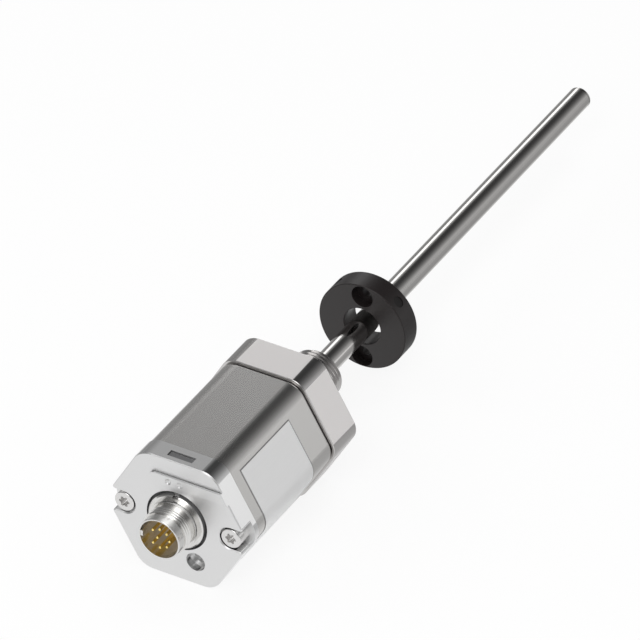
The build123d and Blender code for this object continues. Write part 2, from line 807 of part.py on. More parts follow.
with BuildPart() as clamp_screw:
    with BuildSketch(Plane.XY.offset(clamp_top - clamp_screw_length)):
        with Locations((clamp_screw_x, clamp_middle)):
            Circle(clamp_screw_radius)
    extrude(amount=clamp_screw_length)
    with BuildSketch(Plane.XY.offset(clamp_top)):
        with Locations((clamp_screw_x, clamp_middle)):
            Circle(clamp_screw_head_radius)
            Rectangle(2 * clamp_screw_head_radius, clamp_screw_slot, mode=Mode.SUBTRACT)
    extrude(amount=clamp_screw_head_height)
    with BuildSketch(Plane.XY.offset(clamp_top)):
        with Locations((clamp_screw_x, clamp_middle)):
            Circle(clamp_screw_head_radius)
    extrude(amount=clamp_screw_head_height / 2)
finish(clamp_screw, "clamp_screw")

# Header pins: bent at a right angle, through the connector board and down through the main board.
header_start = connector_board_rear
header_middle_y = header_start + header_size / 2
header_middle_z = main_board_top + header_size / 2
header_places = [(place - (header_pins_count - 1) / 2) * header_pitch for place in range(header_pins_count)]
with BuildPart() as header_pins:
    with BuildSketch(station(header_middle_y)):
        with Locations(*[(x, header_middle_z) for x in header_places]):
            Circle(header_pin_radius)
    extrude(amount=header_middle_y - connector_board_front + header_pin_tail)
    with BuildSketch(Plane.XY.offset(main_board_bottom - header_pin_tail)):
        with Locations(*[(x, header_middle_y - header_pin_radius) for x in header_places]):
            Circle(header_pin_radius)
    extrude(amount=header_middle_z - main_board_bottom + header_pin_tail + header_pin_radius)
finish(header_pins, "header_pins")

with BuildPart() as board_header:
    with BuildSketch(Plane.XY.offset(main_board_top)):
        with Locations((0, header_middle_y)):
            Rectangle(header_length, header_size)
    extrude(amount=header_size)
    add(header_pins.part, mode=Mode.SUBTRACT)
finish(board_header, "board_header")

main_board_front = connector_board_rear + main_board_gap
with BuildPart() as main_board:
    with BuildSketch(Plane.XY.offset(main_board_bottom)):
        with Locations((0, (main_board_front + carrier_front) / 2)):
            Rectangle(2 * main_board_half_width, carrier_front - main_board_front)
        with Locations(*[(x, header_middle_y - header_pin_radius) for x in header_places]):
            Circle(header_pin_radius + pin_clearance, mode=Mode.SUBTRACT)
        with Locations((0, bend_end)):
            Circle(return_wire_radius + pin_clearance, mode=Mode.SUBTRACT)
        with Locations(*lead_points):
            Circle(lead_radius + pin_clearance, mode=Mode.SUBTRACT)
    extrude(amount=board_thickness)
finish(main_board, "main_board")

with BuildPart() as connector_board:
    with BuildSketch(station(connector_board_rear)):
        cavity(connector_board_clearance)
        with Locations(*pin_places()):
            Circle(pin_radius + pin_clearance, mode=Mode.SUBTRACT)
        with Locations(*[(x, header_middle_z) for x in header_places]):
            Circle(header_pin_radius + pin_clearance, mode=Mode.SUBTRACT)
    extrude(amount=board_thickness)
finish(connector_board, "connector_board")

# Chips and capacitors hang under the main board.
board_span = carrier_front - main_board_front
with BuildPart() as processor_chips:
    with BuildSketch(Plane.XY.offset(main_board_bottom)):
        for x, place, width, length in chips:
            with Locations((x, main_board_front + place * board_span)):
                Rectangle(width, length)
    extrude(amount=-chip_height)
finish(processor_chips, "processor_chips")

with BuildPart() as capacitors:
    with BuildSketch(Plane.XY.offset(main_board_bottom)):
        with Locations(*[(x, main_board_front + place * board_span) for x, place in capacitor_places]):
            Circle(capacitor_radius)
    extrude(amount=-capacitor_height)
finish(capacitors, "capacitors")

with BuildPart() as status_leds:
    with BuildSketch(station(connector_board_front)):
        guide_middle = (guide_top + guide_bottom) / 2
        with Locations((-led_spacing / 2, guide_middle), (led_spacing / 2, guide_middle)):
            Rectangle(led_size, led_size)
    extrude(amount=led_height)
finish(status_leds, "status_leds")

# Position magnet: a ring with two sunk fixing holes and four radial cells.
magnet_rear = magnet_front + magnet_thickness
magnet_middle = (magnet_front + magnet_rear) / 2
fixing_points = [(0, -fixing_circle_radius), (0, fixing_circle_radius)]
cell_angles = [45, 135, 225, 315]


def cell_plane(angle, radius):
    """Plane square to a radial cell, at the given distance from the rod's axis, facing outwards."""
    across = math.cos(math.radians(angle))
    up = math.sin(math.radians(angle))
    return Plane(origin=(radius * across, magnet_middle, radius * up), z_dir=(across, 0, up))


with BuildPart() as magnet_ring:
    with BuildSketch(station(magnet_rear)):
        Circle(magnet_radius)
        Circle(magnet_bore_radius, mode=Mode.SUBTRACT)
    extrude(amount=magnet_thickness)
    fillet(edges().filter_by(GeomType.CIRCLE), magnet_edge)
    with BuildSketch(station(magnet_rear)):
        with Locations(*fixing_points):
            Circle(fixing_hole_radius)
    extrude(amount=magnet_thickness, mode=Mode.SUBTRACT)
    with BuildSketch(station(magnet_front + fixing_seat_depth)):
        with Locations(*fixing_points):
            Circle(fixing_seat_radius)
    extrude(amount=fixing_seat_depth, mode=Mode.SUBTRACT)
    for angle in cell_angles:
        with BuildSketch(cell_plane(angle, magnet_radius - cell_depth)):
            Circle(cell_radius)
        extrude(amount=cell_depth + cut_spare, mode=Mode.SUBTRACT)
finish(magnet_ring, "magnet_ring")

potting_top = magnet_radius - potting_sink
potting_bottom = potting_top - potting_thickness
with BuildPart() as ring_magnets:
    for angle in cell_angles:
        with BuildSketch(cell_plane(angle, magnet_radius - cell_depth)):
            Circle(cell_radius - cell_clearance)
        extrude(amount=potting_bottom - magnet_radius + cell_depth)
finish(ring_magnets, "ring_magnets")

with BuildPart() as magnet_potting:
    for angle in cell_angles:
        with BuildSketch(cell_plane(angle, potting_bottom)):
            Circle(cell_radius)
        extrude(amount=potting_thickness)
finish(magnet_potting, "magnet_potting")
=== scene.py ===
# %% [markdown]
# # A rod-style linear position sensor
# The object is a hexagonal aluminium housing with a round connector, a stainless flange with a
# threaded stub, a slim polished rod and a black ring magnet that slides along the rod. Every solid
# already stands in its place, so this lesson gives them their finishes, cuts the two threads,
# and sets up the studio. First the fixed frame is loaded and its box is noted.

# %% Load the frame
import bpy
import math
from mathutils import Matrix, Vector


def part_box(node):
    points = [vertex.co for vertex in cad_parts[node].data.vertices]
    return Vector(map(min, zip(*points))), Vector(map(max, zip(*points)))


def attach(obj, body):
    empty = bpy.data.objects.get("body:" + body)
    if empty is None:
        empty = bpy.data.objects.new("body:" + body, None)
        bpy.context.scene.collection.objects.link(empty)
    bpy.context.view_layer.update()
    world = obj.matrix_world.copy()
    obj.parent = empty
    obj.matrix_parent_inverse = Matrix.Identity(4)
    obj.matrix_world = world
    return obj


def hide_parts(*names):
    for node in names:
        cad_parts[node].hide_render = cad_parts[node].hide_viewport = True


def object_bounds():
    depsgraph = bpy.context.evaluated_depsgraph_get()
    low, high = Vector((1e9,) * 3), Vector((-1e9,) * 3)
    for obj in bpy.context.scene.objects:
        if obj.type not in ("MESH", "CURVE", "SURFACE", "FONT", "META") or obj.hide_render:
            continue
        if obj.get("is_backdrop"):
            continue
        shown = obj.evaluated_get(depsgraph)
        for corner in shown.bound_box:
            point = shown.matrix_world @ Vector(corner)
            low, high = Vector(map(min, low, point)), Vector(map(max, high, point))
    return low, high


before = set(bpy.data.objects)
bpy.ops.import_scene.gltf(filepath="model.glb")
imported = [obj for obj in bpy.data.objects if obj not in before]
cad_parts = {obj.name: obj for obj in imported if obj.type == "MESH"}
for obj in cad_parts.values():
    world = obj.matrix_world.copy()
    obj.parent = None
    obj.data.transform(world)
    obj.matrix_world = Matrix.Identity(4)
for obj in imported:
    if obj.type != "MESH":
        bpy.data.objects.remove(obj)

low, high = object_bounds()
print("CAD box, mm:", [round(1000 * (b - a), 2) for a, b in zip(low, high)])

# %% [markdown]
# A colour is easiest to choose as the hex value that a picture shows, but a shader mixes light in
# linear numbers. One function does that change. A second one adds a node, sets it and links it, so
# a finish reads as a short list of nodes.

# %% Colours and nodes


def paint(code):
    """Linear red, green, blue and alpha from an sRGB hex colour."""
    parts = [int(code[i:i + 2], 16) / 255 for i in (1, 3, 5)]
    return [p / 12.92 if p <= 0.04045 else ((p + 0.055) / 1.055) ** 2.4 for p in parts] + [1.0]


def add_node(tree, kind, inputs=None, **settings):
    """Adds a node, sets its options, and gives each named input a value or a link."""
    node = tree.nodes.new(kind)
    for option, value in settings.items():
        setattr(node, option, value)
    for socket, value in (inputs or {}).items():
        if isinstance(value, bpy.types.NodeSocket):
            tree.links.new(value, node.inputs[socket])
        else:
            node.inputs[socket].default_value = value
    return node


def set_ramp(node, stops):
    """Gives a colour ramp its stops, each a place from 0 to 1 and a linear colour."""
    ramp = node.color_ramp
    while len(ramp.elements) > 1:
        ramp.elements.remove(ramp.elements[-1])
    for number, (place, colour) in enumerate(stops):
        stop = ramp.elements[0] if number == 0 else ramp.elements.new(place)
        stop.position = place
        stop.color = colour


def per_mm(size):
    """The texture scale at which one cell measures this many millimetres."""
    return 1000 / size


print("Mid grey as linear light:", round(paint("#808080")[0], 3))

# %% [markdown]
# ## The camera
# The photograph was taken with a long lens from the front right and above, so far away that the
# edges along the rod stay almost parallel. The place and the turn of the camera come from matching
# known edges of the sensor with the picture.

# %% Camera
right = Vector((0.86923, 0.49439, -0.00194))
up = Vector((-0.29053, 0.51396, 0.80726))
back = Vector((0.40003, -0.70114, 0.59028))
place = Vector((0.91193, -1.57646, 1.36547))

camera_data = bpy.data.cameras.new("camera")
camera_data.lens = 403.41
camera_data.sensor_width = 36
camera_data.clip_start = 0.05
camera = bpy.data.objects.new("camera", camera_data)
bpy.context.collection.objects.link(camera)
camera.matrix_world = Matrix.Translation(place) @ Matrix((right, up, back)).transposed().to_4x4()
bpy.context.scene.camera = camera
print("Camera distance from the flange, m:", round(place.length, 3))

# %% [markdown]
# ## The studio
# Polished metal shows its surroundings, so the studio matters as much as the metal. Long soft boxes
# and black cards lie along the rod, and the housing shows them as light and dark bands. They are
# made in the world's shader, as ramps round the rod's axis, because real cards would stand in the
# way of the other views. One ramp is for what stands behind the sensor, and one is for what stands
# in front, where a wide soft box hangs overhead. Each stop of a ramp is an angle round the rod, in
# degrees from the right-hand side upwards, and a light. The camera itself sees plain white.

# %% World
world = bpy.data.worlds.new("studio")
bpy.context.scene.world = world
world.use_nodes = True
sky = world.node_tree
sky.nodes.clear()
coordinates = add_node(sky, "ShaderNodeTexCoord")
direction = add_node(sky, "ShaderNodeSeparateXYZ", {0: coordinates.outputs["Generated"]})
angle = add_node(sky, "ShaderNodeMath", {0: direction.outputs["Z"], 1: direction.outputs["X"]},
                 operation="ARCTAN2")
turn = add_node(sky, "ShaderNodeMapRange", {
    "Value": angle.outputs[0], "From Min": -math.pi, "From Max": math.pi})
BEHIND = (
    (-180, 0.60), (-60, 0.45), (-1, 0.45), (3, 0.47), (12, 0.50), (18, 0.52), (26, 0.46), (34, 0.36),
    (44, 0.25), (54, 0.17), (66, 0.10), (82, 0.05), (102, 0.05), (110, 0.10), (118, 0.26), (124, 0.44),
    (130, 0.40), (144, 0.33), (164, 0.27), (180, 0.31),
)
IN_FRONT = (
    (-180, 0.80), (-60, 0.60), (-2, 0.70), (10, 0.70), (18, 0.30), (28, 0.18), (46, 0.18), (62, 0.55),
    (70, 1.20), (76, 2.20), (100, 2.30), (112, 0.90), (126, 0.26), (164, 0.18), (180, 0.26),
)
views = []
for band_list in (BEHIND, IN_FRONT):
    bands = add_node(sky, "ShaderNodeValToRGB", {"Fac": turn.outputs[0]})
    set_ramp(bands, [((degrees + 180) / 360, (light, light, light, 1)) for degrees, light in band_list])
    views.append(bands.outputs[0])
front = add_node(sky, "ShaderNodeMapRange", {
    "Value": direction.outputs["Y"], "From Min": 0.2, "From Max": -0.2}, interpolation_type="SMOOTHSTEP")
glossy_view = add_node(sky, "ShaderNodeMix", {
    "Factor": front.outputs[0], 6: views[0], 7: views[1]}, data_type="RGBA")
rays = add_node(sky, "ShaderNodeLightPath")
for_gloss = add_node(sky, "ShaderNodeBackground", {"Color": glossy_view.outputs[2], "Strength": 1.0})
ROOM_LIGHT = 0.55
for_diffuse = add_node(sky, "ShaderNodeBackground", {"Color": paint("#ffffff"), "Strength": ROOM_LIGHT})
for_camera = add_node(sky, "ShaderNodeBackground", {"Color": paint("#ffffff"), "Strength": 1.0})
no_gloss = add_node(sky, "ShaderNodeMixShader", {
    0: rays.outputs["Is Glossy Ray"], 1: for_diffuse.outputs[0], 2: for_gloss.outputs[0]})
seen = add_node(sky, "ShaderNodeMath", {
    0: rays.outputs["Is Camera Ray"], 1: rays.outputs["Is Transmission Ray"]}, operation="MAXIMUM")
whole = add_node(sky, "ShaderNodeMixShader", {
    0: seen.outputs[0], 1: no_gloss.outputs[0], 2: for_camera.outputs[0]})
add_node(sky, "ShaderNodeOutputWorld", {"Surface": whole.outputs[0]})
print("Studio bands round the rod:", len(BEHIND), "behind and", len(IN_FRONT), "in front")

# %% [markdown]
# The floor is a pale table. The camera sees it as white paper with a faint shadow. For polished
# metal the floor glows with painted light, brightest under the rod's left side and in front, where the
# soft boxes would light it, and duller to the right and far to the left. Two ramps hold that, as places
# across the table in metres and a light for each, one beside the housing and one beside the rod. They blend
# past the flange.

# %% Floor
floor_height = low.z
bpy.ops.object.select_all(action="DESELECT")
bpy.ops.mesh.primitive_plane_add(size=12, location=(0, 0, floor_height))
floor = bpy.context.object
floor.name = "floor"
floor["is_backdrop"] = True
floor_finish = bpy.data.materials.new("pale_table")
floor_finish.use_nodes = True
table = floor_finish.node_tree
table.nodes.clear()
spot = add_node(table, "ShaderNodeTexCoord")
spot_parts = add_node(table, "ShaderNodeSeparateXYZ", {0: spot.outputs["Object"]})
across = add_node(table, "ShaderNodeMapRange", {
    "Value": spot_parts.outputs["X"], "From Min": -0.3, "From Max": 0.3})
BY_THE_HOUSING = (
    (-0.300, 0.28), (-0.105, 0.50), (-0.065, 0.90), (-0.030, 1.00), (0.000, 0.90), (0.018, 0.66),
    (0.040, 0.48), (0.060, 0.47), (0.300, 0.55),
)
BY_THE_ROD = (
    (-0.300, 0.28), (-0.090, 0.34), (-0.060, 0.40), (-0.030, 0.55), (-0.012, 1.20), (0.002, 1.10),
    (0.010, 0.60), (0.019, 0.38), (0.050, 0.40), (0.300, 0.50),
)
zones = []
for light_list in (BY_THE_HOUSING, BY_THE_ROD):
    zone = add_node(table, "ShaderNodeValToRGB", {"Fac": across.outputs[0]})
    set_ramp(zone, [((x + 0.3) / 0.6, (light, light, light, 1)) for x, light in light_list])
    zones.append(zone.outputs[0])
past_flange = add_node(table, "ShaderNodeMapRange", {
    "Value": spot_parts.outputs["Y"], "From Min": 0.035, "From Max": 0.075}, interpolation_type="SMOOTHSTEP")
lengthwise = add_node(table, "ShaderNodeMix", {
    0: past_flange.outputs[0], 6: zones[0], 7: zones[1]}, data_type="RGBA")
in_front = add_node(table, "ShaderNodeMapRange", {
    "Value": spot_parts.outputs["Y"], "From Min": 0.0, "From Max": -0.065}, interpolation_type="SMOOTHSTEP")
fade = add_node(table, "ShaderNodeMix", {
    0: in_front.outputs[0], 6: lengthwise.outputs[2], 7: paint("#f2f2f2")}, data_type="RGBA")
matt = add_node(table, "ShaderNodeBsdfDiffuse", {"Color": paint("#ffffff")})
white = add_node(table, "ShaderNodeEmission", {"Color": paint("#ffffff"), "Strength": 1.0})
# Painted light: gloss sees the floor glowing by these ramps, not lit by the lamps.
painted_floor_glow = add_node(table, "ShaderNodeEmission", {"Color": fade.outputs[2], "Strength": 1.0})
path = add_node(table, "ShaderNodeLightPath")
camera_side = add_node(table, "ShaderNodeMath", {
    0: path.outputs["Is Camera Ray"], 1: path.outputs["Is Transmission Ray"]}, operation="MAXIMUM")
PAPER_WHITE = 0.86
share = add_node(table, "ShaderNodeMath", {0: camera_side.outputs[0], 1: PAPER_WHITE}, operation="MULTIPLY")
first = add_node(table, "ShaderNodeMixShader", {0: share.outputs[0], 1: matt.outputs[0], 2: white.outputs[0]})
second = add_node(table, "ShaderNodeMixShader", {
    0: path.outputs["Is Glossy Ray"], 1: first.outputs[0], 2: painted_floor_glow.outputs[0]})
add_node(table, "ShaderNodeOutputMaterial", {"Surface": second.outputs[0]})
floor.data.materials.append(floor_finish)
print("Floor height, mm:", round(1000 * floor_height, 2))

# %% [markdown]
# Three soft boxes light the dull surfaces. Gloss doesn't see them, because the ramps above already hold
# what polished metal mirrors. Two more are for gloss alone. A narrow strip beyond the rod draws the
# white line along its top, and starts so far back that the housing doesn't catch it. A low box on the
# right brightens the flanks of the housing, and ends where the far half of the rod would see it.

# %% Lamps
LAMPS = (
    ("key_soft_box", (0.45, -1.10, 1.15), (0.9, 0.9), 10.0),
    ("fill_soft_box", (-1.10, -0.40, 0.80), (0.8, 0.8), 3.0),
    ("top_soft_box", (0.10, 0.50, 1.30), (0.7, 0.7), 2.0),
    ("gloss_strip_rod", (-0.24, 0.55, 0.18), (0.5, 0.136), 0.30),
    ("gloss_box_right", (0.50, 0.43, 0.065), (0.22, 0.11), 0.037),
)
aim = (low + high) / 2
for lamp_name, spot_place, spread, watts in LAMPS:
    lamp_data = bpy.data.lights.new(lamp_name, "AREA")
    lamp_data.shape = "RECTANGLE"
    lamp_data.size, lamp_data.size_y = spread
    lamp_data.energy = watts
    lamp = bpy.data.objects.new(lamp_name, lamp_data)
    lamp.location = spot_place
    for_gloss_only = lamp_name.startswith("gloss")
    target = Vector((0, spot_place[1], 0)) if for_gloss_only else aim
    lamp.rotation_euler = (target - Vector(spot_place)).to_track_quat("-Z", "Y").to_euler()
    lamp.visible_camera = lamp.visible_transmission = False
    lamp.visible_glossy = for_gloss_only
    lamp.visible_diffuse = not for_gloss_only
    bpy.context.collection.objects.link(lamp)
print("Lamps:", len(LAMPS))

# %% [markdown]
# ## Finishes
# Most finishes here share one build-up: a noise, stretched the way the tool or the mould ran, tints
# the colour a little, changes the roughness and lifts a fine bump. The function below lays that out
# from real sizes in millimetres, and hands back its nodes, so that a finish can add what is its own.

# %% One build-up for many finishes
finishes = {}


def make_finish(name, tones, metallic, roughness, grain, stretch=(1, 1, 1), bump=0.01, detail=4,
                cloud=12.0, cloud_share=0.35, ior=None):
    """A material from two tones, a roughness range, a grain size and a bump height, both in mm."""
    material = bpy.data.materials.new(name)
    material.use_nodes = True
    tree = material.node_tree
    tree.nodes.clear()
    where = add_node(tree, "ShaderNodeTexCoord")
    along = add_node(tree, "ShaderNodeMapping", {"Vector": where.outputs["Object"], "Scale": stretch})
    fine = add_node(tree, "ShaderNodeTexNoise", {
        "Vector": along.outputs[0], "Scale": per_mm(grain), "Detail": detail, "Roughness": 0.6})
    broad = add_node(tree, "ShaderNodeTexNoise", {
        "Vector": where.outputs["Object"], "Scale": per_mm(cloud), "Detail": 2})
    mixed = add_node(tree, "ShaderNodeMath", {0: broad.outputs["Fac"], 1: cloud_share}, operation="MULTIPLY")
    blend = add_node(tree, "ShaderNodeMath", {
        0: fine.outputs["Fac"], 1: 1 - cloud_share, 2: mixed.outputs[0]}, operation="MULTIPLY_ADD")
    tint = add_node(tree, "ShaderNodeValToRGB", {"Fac": blend.outputs[0]})
    set_ramp(tint, [(0.32, paint(tones[0])), (0.68, paint(tones[1]))])
    gloss = add_node(tree, "ShaderNodeMapRange", {
        "Value": blend.outputs[0], "From Min": 0.3, "From Max": 0.7,
        "To Min": roughness[0], "To Max": roughness[1]})
    relief = add_node(tree, "ShaderNodeBump", {
        "Height": fine.outputs["Fac"], "Distance": bump / 1000, "Strength": 0.6})
    shader = add_node(tree, "ShaderNodeBsdfPrincipled", {
        "Base Color": tint.outputs[0], "Roughness": gloss.outputs[0], "Normal": relief.outputs[0],
        "Metallic": metallic})
    if ior:
        shader.inputs["IOR"].default_value = ior
    add_node(tree, "ShaderNodeOutputMaterial", {"Surface": shader.outputs[0]})
    finishes[name] = material
    return {"tree": tree, "where": where, "tint": tint, "gloss": gloss, "blend": blend, "relief": relief,
            "shader": shader}


print("Scale for a grain of 0.25 mm:", per_mm(0.25))

# %% [markdown]
# Some solids don't look the same all over. One mask reads which way the surface faces. Another marks
# a stretch along Y that also lies at some distance from a line, such as the wall of a round gap. A
# third function takes such masks and paints shade into their zones, dull and dark.

# %% Masks


def facing(made, direction, start, full):
    """A mask that grows from 0 to 1 as the surface turns to face along a direction, or against it."""
    tree = made["tree"]
    along = add_node(tree, "ShaderNodeVectorMath", {
        0: made["where"].outputs["Normal"], 1: direction}, operation="DOT_PRODUCT")
    size = add_node(tree, "ShaderNodeMath", {0: along.outputs["Value"]}, operation="ABSOLUTE")
    return add_node(tree, "ShaderNodeMapRange", {
        "Value": size.outputs[0], "From Min": start, "From Max": full}, interpolation_type="SMOOTHSTEP")


def ring_zone(made, from_y, to_y, inner, outer, aside=0):
    """A mask that is 1 between two places along Y and two distances, in mm, from the rod's axis, or
    from two lines beside it."""
    tree = made["tree"]
    parts = add_node(tree, "ShaderNodeSeparateXYZ", {0: made["where"].outputs["Object"]})
    from_side = add_node(tree, "ShaderNodeMath", {0: parts.outputs["X"]}, operation="ABSOLUTE")
    from_line = add_node(tree, "ShaderNodeMath", {0: from_side.outputs[0], 1: aside / 1000},
                         operation="SUBTRACT")
    section = add_node(tree, "ShaderNodeCombineXYZ", {"X": from_line.outputs[0], "Y": parts.outputs["Z"]})
    distance = add_node(tree, "ShaderNodeVectorMath", {0: section.outputs[0]}, operation="LENGTH")
    ranges = ((parts.outputs["Y"], from_y, to_y), (distance.outputs["Value"], inner, outer))
    checks = [add_node(tree, "ShaderNodeMath", {0: value, 1: (a + b) / 2000, 2: (b - a) / 2000},
                       operation="COMPARE") for value, a, b in ranges]
    return add_node(tree, "ShaderNodeMath", {0: checks[0].outputs[0], 1: checks[1].outputs[0]},
                    operation="MULTIPLY")


def paint_shade(made, zones, colour):
    """Paints shade into the zones of a metal as a dull dark colour, as shade falls in a narrow gap."""
    tree = made["tree"]
    whole = zones[0].outputs[0]
    for zone in zones[1:]:
        either = add_node(tree, "ShaderNodeMath", {0: whole, 1: zone.outputs[0]}, operation="MAXIMUM")
        whole = either.outputs[0]
    shade = add_node(tree, "ShaderNodeMix", {
        0: whole, 6: made["tint"].outputs[0], 7: paint(colour)}, data_type="RGBA")
    tree.links.new(shade.outputs[2], made["shader"].inputs["Base Color"])
    bare = add_node(tree, "ShaderNodeMath", {0: 1.0, 1: whole}, operation="SUBTRACT")
    tree.links.new(bare.outputs[0], made["shader"].inputs["Metallic"])


print("Masks: by direction and by place")

# %% [markdown]
# ### The end cover
# It is milled from aluminium and clear anodised. Its face is blasted first, which leaves a fine,
# even satin, while its sides keep the bright cut of the mill and so show the studio's bands clearly.
# A mask reads which way the surface faces, blends the two roughnesses, and keeps the blasted grain to
# the face and its edges.

# %% Cover aluminium
FACE_GLOSS, SIDE_GLOSS = (0.36, 0.42), (0.11, 0.13)
cover_finish = make_finish("cover_aluminium", ("#e5e5e5", "#eaeaea"), 1.0, FACE_GLOSS, 0.25, bump=0.005)
cover_tree = cover_finish["tree"]
is_face = facing(cover_finish, (0, 1, 0), 0.50, 0.70)
cut_gloss = add_node(cover_tree, "ShaderNodeMapRange", {
    "Value": cover_finish["blend"].outputs[0], "From Min": 0.3, "From Max": 0.7,
    "To Min": SIDE_GLOSS[0], "To Max": SIDE_GLOSS[1]})
cover_gloss = add_node(cover_tree, "ShaderNodeMix", {
    0: is_face.outputs[0], 2: cut_gloss.outputs[0], 3: cover_finish["gloss"].outputs[0]}, data_type="FLOAT")
cover_grain = add_node(cover_tree, "ShaderNodeMapRange", {"Value": is_face.outputs[0], "To Max": 0.6})
cover_tree.links.new(cover_gloss.outputs[0], cover_finish["shader"].inputs["Roughness"])
cover_tree.links.new(cover_grain.outputs[0], cover_finish["relief"].inputs["Strength"])
print("Cover roughness on the face:", FACE_GLOSS, "and on the sides:", SIDE_GLOSS)

# %% [markdown]
# Light hardly reaches into narrow places, so three zones of the cover get painted shade, dull and
# dark: the root of the raised pad's upper edge, the gap round the connector's collar, and the gaps
# round the two screw heads. Each is given by how far it lies behind the pad's front, and by its
# distance from the axis of the rod or of a screw, in millimetres.

# %% Painted shade in the cover's gaps
pad_front = 1000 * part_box("end_cover")[0][1]
screw_low, screw_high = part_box("cover_screws")
screw_line = 1000 * screw_high[0] - 500 * (screw_high[2] - screw_low[2])
GAP_SHADE = "#6e6e6e"
UP_FROM_THE_PAD = (-0.259, 0, 0.966)
pad_root = ring_zone(cover_finish, pad_front + 0.72, pad_front + 0.99, 12.5, 35)
upwards = facing(cover_finish, UP_FROM_THE_PAD, 0.5, 0.6)
crease = add_node(cover_tree, "ShaderNodeMath", {0: pad_root.outputs[0], 1: upwards.outputs[0]},
                  operation="MULTIPLY")
collar_gap = ring_zone(cover_finish, pad_front + 1.05, pad_front + 3.45, 9.5, 10.95)
head_gap = ring_zone(cover_finish, pad_front + 1.25, pad_front + 4.7, 3.3, 3.95, aside=screw_line)
# Painted shade: the pad's crease, the collar gap and the screw-head gaps turn dark and dull.
paint_shade(cover_finish, (crease, collar_gap, head_gap), GAP_SHADE)
print("Screws stand this far from the middle, mm:", round(screw_line, 2))

# %% [markdown]
# ### The tube and its label
# The tube is an extrusion: its die leaves faint straight lines along its length, so the noise is
# stretched along Y. Real die lines are too fine to show here, so they are drawn 4 mm wide and very
# faint. The label is a thin foil that is rolled a little lighter. A fine grey line of painted shadow
# runs along its cut edge, found from the distance to the label's ends and to its upper edge. The
# capacitors on the board inside have drawn aluminium cans.

# %% Tube aluminium and label foil
make_finish("tube_aluminium", ("#d7d5d3", "#dad9d7"), 1.0, (0.265, 0.275), 4.0, stretch=(1, 0.02, 1), bump=0,
            cloud_share=0.6)
foil = make_finish("label_foil", ("#f0f0f0", "#f4f4f4"), 0.6, (0.34, 0.40), 0.6,
                   stretch=(1, 0.05, 1), bump=0.001)
foil_tree = foil["tree"]
EDGE_LINE = 0.0003
label_low, label_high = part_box("rating_label")
label_place = add_node(foil_tree, "ShaderNodeSeparateXYZ", {0: foil["where"].outputs["Object"]})
middle = (label_low[1] + label_high[1]) / 2
half = (label_high[1] - label_low[1]) / 2
off_centre = add_node(foil_tree, "ShaderNodeMath", {0: label_place.outputs["Y"], 1: middle},
                      operation="SUBTRACT")
from_middle = add_node(foil_tree, "ShaderNodeMath", {0: off_centre.outputs[0]}, operation="ABSOLUTE")
near_end = add_node(foil_tree, "ShaderNodeMath", {0: from_middle.outputs[0], 1: half - EDGE_LINE},
                    operation="GREATER_THAN")
near_top = add_node(foil_tree, "ShaderNodeMath", {0: label_place.outputs["Z"], 1: label_high[2] - EDGE_LINE},
                    operation="GREATER_THAN")
on_edge = add_node(foil_tree, "ShaderNodeMath", {0: near_end.outputs[0], 1: near_top.outputs[0]},
                   operation="MAXIMUM")
# Painted shadow: a grey line along the label's ends and upper edge.
edge_shadow_tint = add_node(foil_tree, "ShaderNodeMix", {
    0: on_edge.outputs[0], 6: foil["tint"].outputs[0], 7: paint("#8e8e8e")}, data_type="RGBA")
foil_tree.links.new(edge_shadow_tint.outputs[2], foil["shader"].inputs["Base Color"])
make_finish("capacitor_can", ("#c5c5c6", "#d8d8d9"), 1.0, (0.25, 0.35), 0.4, bump=0.004)
print("Label length, mm:", round(2000 * half, 2))

# %% [markdown]
# ### The flange
# It is turned from hexagonal stainless bar. The flats of the bar are ground, which leaves them pale
# and matt, and its rounded corners are turned bright. Three masks, one for each pair of flats, say
# where the ground skin is. The stub's thread is cut bright too.

# %% Flange steel
flange_finish = make_finish("flange_steel", ("#d0cecd", "#d6d4d3"), 1.0, (0.12, 0.15), 0.3,
                            stretch=(0.05, 1, 0.05), bump=0.0005)
flange_tree = flange_finish["tree"]
ground = None
for degrees in (30, 90, 150):
    direction_of_flat = (math.cos(math.radians(degrees)), 0, math.sin(math.radians(degrees)))
    flat = facing(flange_finish, direction_of_flat, 0.992, 0.9995)
    ground = flat.outputs[0] if ground is None else add_node(
        flange_tree, "ShaderNodeMath", {0: ground, 1: flat.outputs[0]}, operation="MAXIMUM").outputs[0]
flat_gloss = add_node(flange_tree, "ShaderNodeMix", {
    0: ground, 2: flange_finish["gloss"].outputs[0], 3: 0.36}, data_type="FLOAT")
flange_tree.links.new(flat_gloss.outputs[0], flange_finish["shader"].inputs["Roughness"])
flat_metal = add_node(flange_tree, "ShaderNodeMapRange", {"Value": ground, "To Min": 1.0, "To Max": 0.45})
flange_tree.links.new(flat_metal.outputs[0], flange_finish["shader"].inputs["Metallic"])
flat_tint = add_node(flange_tree, "ShaderNodeMix", {
    0: ground, 6: flange_finish["tint"].outputs[0], 7: paint("#e9e6e5")}, data_type="RGBA")
flange_tree.links.new(flat_tint.outputs[2], flange_finish["shader"].inputs["Base Color"])
print("Pairs of ground flats: 3")

# %% [markdown]
# ### Rod and screws
# The rod is a drawn and polished stainless tube and the screws are cold headed. Polishing leaves
# fine rings round the rod, so the noise keeps its grain along Y and is stretched the other two
# ways. The waveguide inside the rod is a drawn wire, with its grain along its length.

# %% Rod and screw steel
make_finish("rod_steel", ("#d1cfcd", "#d8d6d4"), 1.0, (0.11, 0.13), 0.25,
            stretch=(0.02, 1, 0.02), bump=0.0002)
make_finish("screw_steel", ("#dfdedd", "#e8e7e6"), 1.0, (0.17, 0.23), 0.3, bump=0.001)
make_finish("waveguide_metal", ("#b9b4aa", "#cbc6bb"), 1.0, (0.18, 0.26), 0.2,
            stretch=(1, 0.05, 1), bump=0.001)
print("Finishes so far:", len(finishes))
